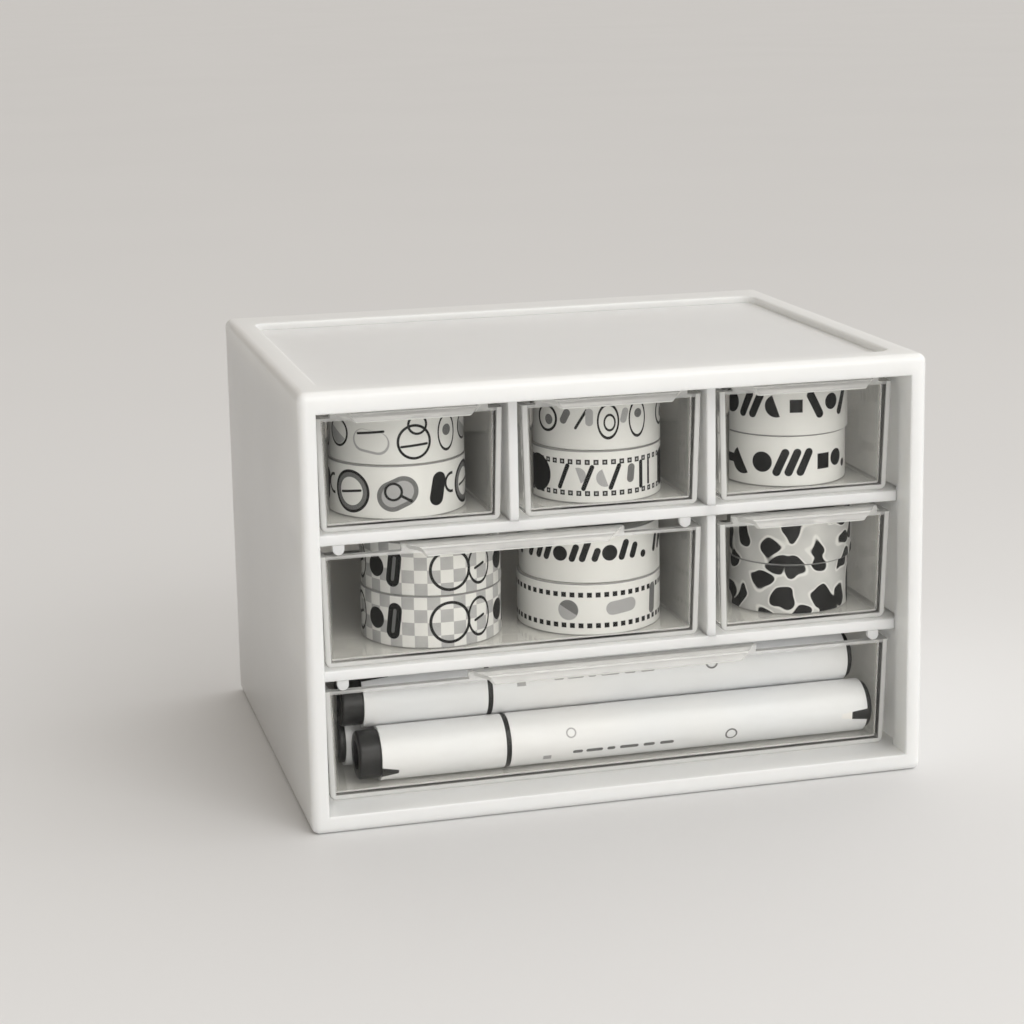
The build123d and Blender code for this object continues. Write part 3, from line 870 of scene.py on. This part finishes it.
def print_tape(name, outer, front_share, design, ground, lift):
    """Paper, then the ground, then each motif over it, and plain paper on the roll's sides.
    Lift is how far up its stack the roll stands, so that spots run on from roll to roll."""
    finish, tree, shader = new_finish(name + "_print")
    x, y, on_band = wound_coordinates(tree, outer, front_share)
    colour = paper
    if ground == "checks":
        colour = checker_ground(tree, x, y, colour)
    elif ground in ("open squares", "squares"):
        colour = square_rows(tree, x, y, colour, ground == "open squares")
    elif ground == "spots":
        colour = cow_spots(tree, x, y + lift)
    if design:
        pitch, motifs = design
        colour = paint(tree, repeat(x, pitch), y, colour, motifs)
    # Painted shade along both edges of the band, for the groove between stacked rolls.
    colour = painted_seam_shade(tree, y, colour)
    fibres = noise(tree, object_place(tree), print_fibre, print_fibre_detail)
    edges = blend_colour(tree, fibres, paper, layer_edge_tone)
    feed(tree, shader.inputs["Base Color"], blend_colour(tree, on_band, edges, colour))
    feed(tree, shader.inputs["Roughness"], fibres * print_gloss_drift + print_gloss)
    shader.inputs["Specular IOR Level"].default_value = print_shine
    raise_surface(tree, shader, fibres, print_fibre_height)
    return finish


print("prints go on tape", tape_height, "mm high")

# %% [markdown]
# ## The rolls in their trays
# Every roll takes the place of its plain ring of CAD, and slides with the tray that it
# lies in. The table says where its tape ends, which design it carries and over what
# ground. The loose end of most rolls is at the back, and of two it shows at the right.

# %% Wind and print all the rolls
# Turns are in radians from straight in front, to the right. Facing is where a design's
# middle looks, a little to the left, towards the camera.
body_of_stack = {
    "stack_a": "top_left_drawer",
    "stack_b": "top_middle_drawer",
    "stack_c": "top_right_drawer",
    "stack_d": "middle_double_drawer",
    "stack_e": "middle_double_drawer",
    "stack_f": "middle_right_drawer",
}
facing = -0.27
back_seam, right_seam, far_right_seam = math.pi, 1.1, 1.2
rolls = {
    "stack_a_lower": (back_seam, pebbles_low, None),
    "stack_a_upper": (back_seam, pebbles_high, None),
    "stack_b_lower": (back_seam, perforated_low, "open squares"),
    "stack_b_upper": (back_seam, ovals_high, None),
    "stack_c_lower": (back_seam, strokes_low, None),
    "stack_c_upper": (back_seam, strokes_high, None),
    "stack_d_lower": (back_seam, checks, "checks"),
    "stack_d_upper": (back_seam, checks, "checks"),
    "stack_e_lower": (back_seam, squares_low, "squares"),
    "stack_e_upper": (right_seam, dashes_high, None),
    "stack_f_lower": (back_seam, None, "spots"),
    "stack_f_upper": (far_right_seam, None, "spots"),
}
for name, (seam, design, ground) in rolls.items():
    node = name + "_tape"
    piece, outer = wind_roll(node, seam)
    front_share = ((facing - seam) / math.tau) % 1.0
    lift = tape_height if name.endswith("upper") else 0.0
    piece.data.materials.append(print_tape(name, outer, front_share, design, ground, lift))
    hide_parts(node)
    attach(piece, body_of_stack[name.rsplit("_", 1)[0]])
    name + "_print"
print("rolls wound", len(rolls))

# %% [markdown]
# ## Floor and light
# The box stands on a plain pale floor. One large soft lamp hangs at the upper right in
# front, a small weak one stands straight before the trays and lights their insides, and
# the pale surroundings do the rest. The surroundings are darker and warmer on the left, so
# the top and front are bright and the left side lies in a soft warm shade.

# %% The floor
floor_half = 30.0
floor_light, floor_dull = grey(0.80), grey(0.77)
floor_patch_scale, floor_matt = 3.0, 0.7


def pale_floor():
    """A flat square at height zero, with a barely uneven matt finish."""
    corner = floor_half * np.array([(-1, -1, 0), (1, -1, 0), (1, 1, 0), (-1, 1, 0)])
    mesh = bpy.data.meshes.new("floor")
    mesh.from_pydata(corner.tolist(), [], [(0, 1, 2, 3)])
    floor = bpy.data.objects.new("floor", mesh)
    bpy.context.scene.collection.objects.link(floor)
    finish, tree, shader = new_finish("pale_floor")
    mottle = noise(tree, object_place(tree), floor_patch_scale)
    feed(tree, shader.inputs["Base Color"], blend_colour(tree, mottle, floor_light, floor_dull))
    shader.inputs["Roughness"].default_value = floor_matt
    floor.data.materials.append(finish)
    print("floor of", 2 * floor_half, "m")


pale_floor()

# %% Surroundings
surround_high, surround_low, high_from = 1.22, 0.44, 0.7
surround_left, surround_right = 0.06, 1.3
left_colour, right_colour = (1.0, 0.90, 0.78, 1), grey(1.0)


def surroundings():
    """A sky whose strength is one straight line in height, up to high_from, times another
    from left to right, and whose colour goes from left to right as well."""
    world = bpy.data.worlds.new("studio")
    bpy.context.scene.world = world
    world.use_nodes = True
    sky = world.node_tree
    background = next(node for node in sky.nodes if node.type == "BACKGROUND")
    sideways, _, upward = split(sky, add_node(sky, "ShaderNodeTexCoord").outputs["Generated"])
    rightness = sideways * 0.5 + 0.5
    height_share = (upward * (1 / high_from)).limited()
    side_light = rightness * (surround_right - surround_left) + surround_left
    height_light = height_share * (surround_high - surround_low) + surround_low
    feed(sky, background.inputs["Strength"], height_light * side_light)
    feed(sky, background.inputs["Color"], blend_colour(sky, rightness, left_colour, right_colour))
    print("surroundings from", surround_low, "low down to", surround_high, "overhead")


surroundings()
bpy.context.scene.view_settings.view_transform = "Standard"

# %% Lamps
lamp_aim = (0, 0, 0.06)


def soft_lamp(name, place, size, power):
    """A square lamp of that size in metres, turned to the point that all lamps aim at."""
    lamp = bpy.data.objects.new(name, bpy.data.lights.new(name, "AREA"))
    bpy.context.scene.collection.objects.link(lamp)
    lamp.data.size, lamp.data.energy = size, power
    lamp.location = place
    lamp.rotation_euler = (Vector(lamp_aim) - Vector(place)).to_track_quat("-Z", "Y").to_euler()
    print(name, power, "W at", place)


soft_lamp("key_lamp", place=(0.32, -0.92, 0.80), size=0.7, power=4.1)
soft_lamp("front_lamp", place=(-0.10, -1.15, 0.16), size=0.3, power=2.0)
